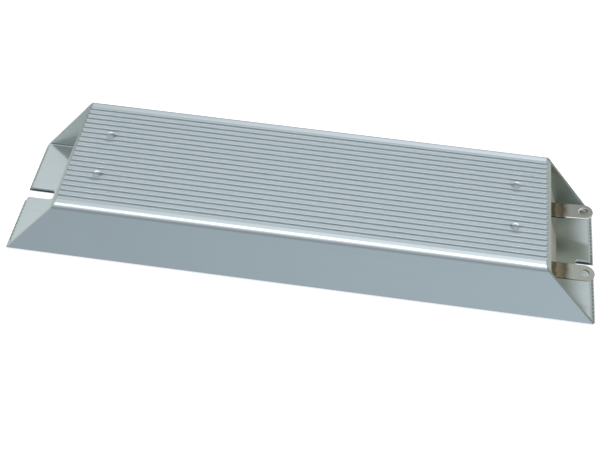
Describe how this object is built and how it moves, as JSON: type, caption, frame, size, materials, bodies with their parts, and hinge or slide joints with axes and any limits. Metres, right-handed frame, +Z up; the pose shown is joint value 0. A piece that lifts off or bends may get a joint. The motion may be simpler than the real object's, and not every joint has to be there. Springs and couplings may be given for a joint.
{
  "type": "aluminium housed power resistor",
  "caption": "Flat ribbed aluminium tube with slanted ends and slotted feet, holding cement-cast wire-wound cores, with flat screw terminals at one end.",
  "frame": {"origin": "centre of the underside, on the plane of the rib tips and edge pads", "axes": "+X along the tube towards the terminals, +Y across it, +Z up through the ribbed top"},
  "size_m": [0.235, 0.06, 0.03],
  "materials": {
    "housing": "mill-finish extruded aluminium, faint draw lines along the tube",
    "filling": "packed mineral filler, matt",
    "seal": "set cement, matt and slightly grainy",
    "core": "unglazed ceramic",
    "winding": "oxidised resistance wire",
    "cap": "pressed steel",
    "link": "plated strip",
    "terminal": "plated strip, brushed lengthways, tinted brown by heat near the seal"
  },
  "bodies": {
    "root": {"housing": "housing", "filling": "filling", "seal_left": "seal", "seal_right": "seal", "core_back": "core", "core_front": "core", "winding_back": "winding", "winding_front": "winding", "cap_back_left": "cap", "cap_back_right": "cap", "cap_front_left": "cap", "cap_front_right": "cap", "link_strap": "link", "terminal_back": "terminal", "terminal_front": "terminal"}
  },
  "joints": []
}
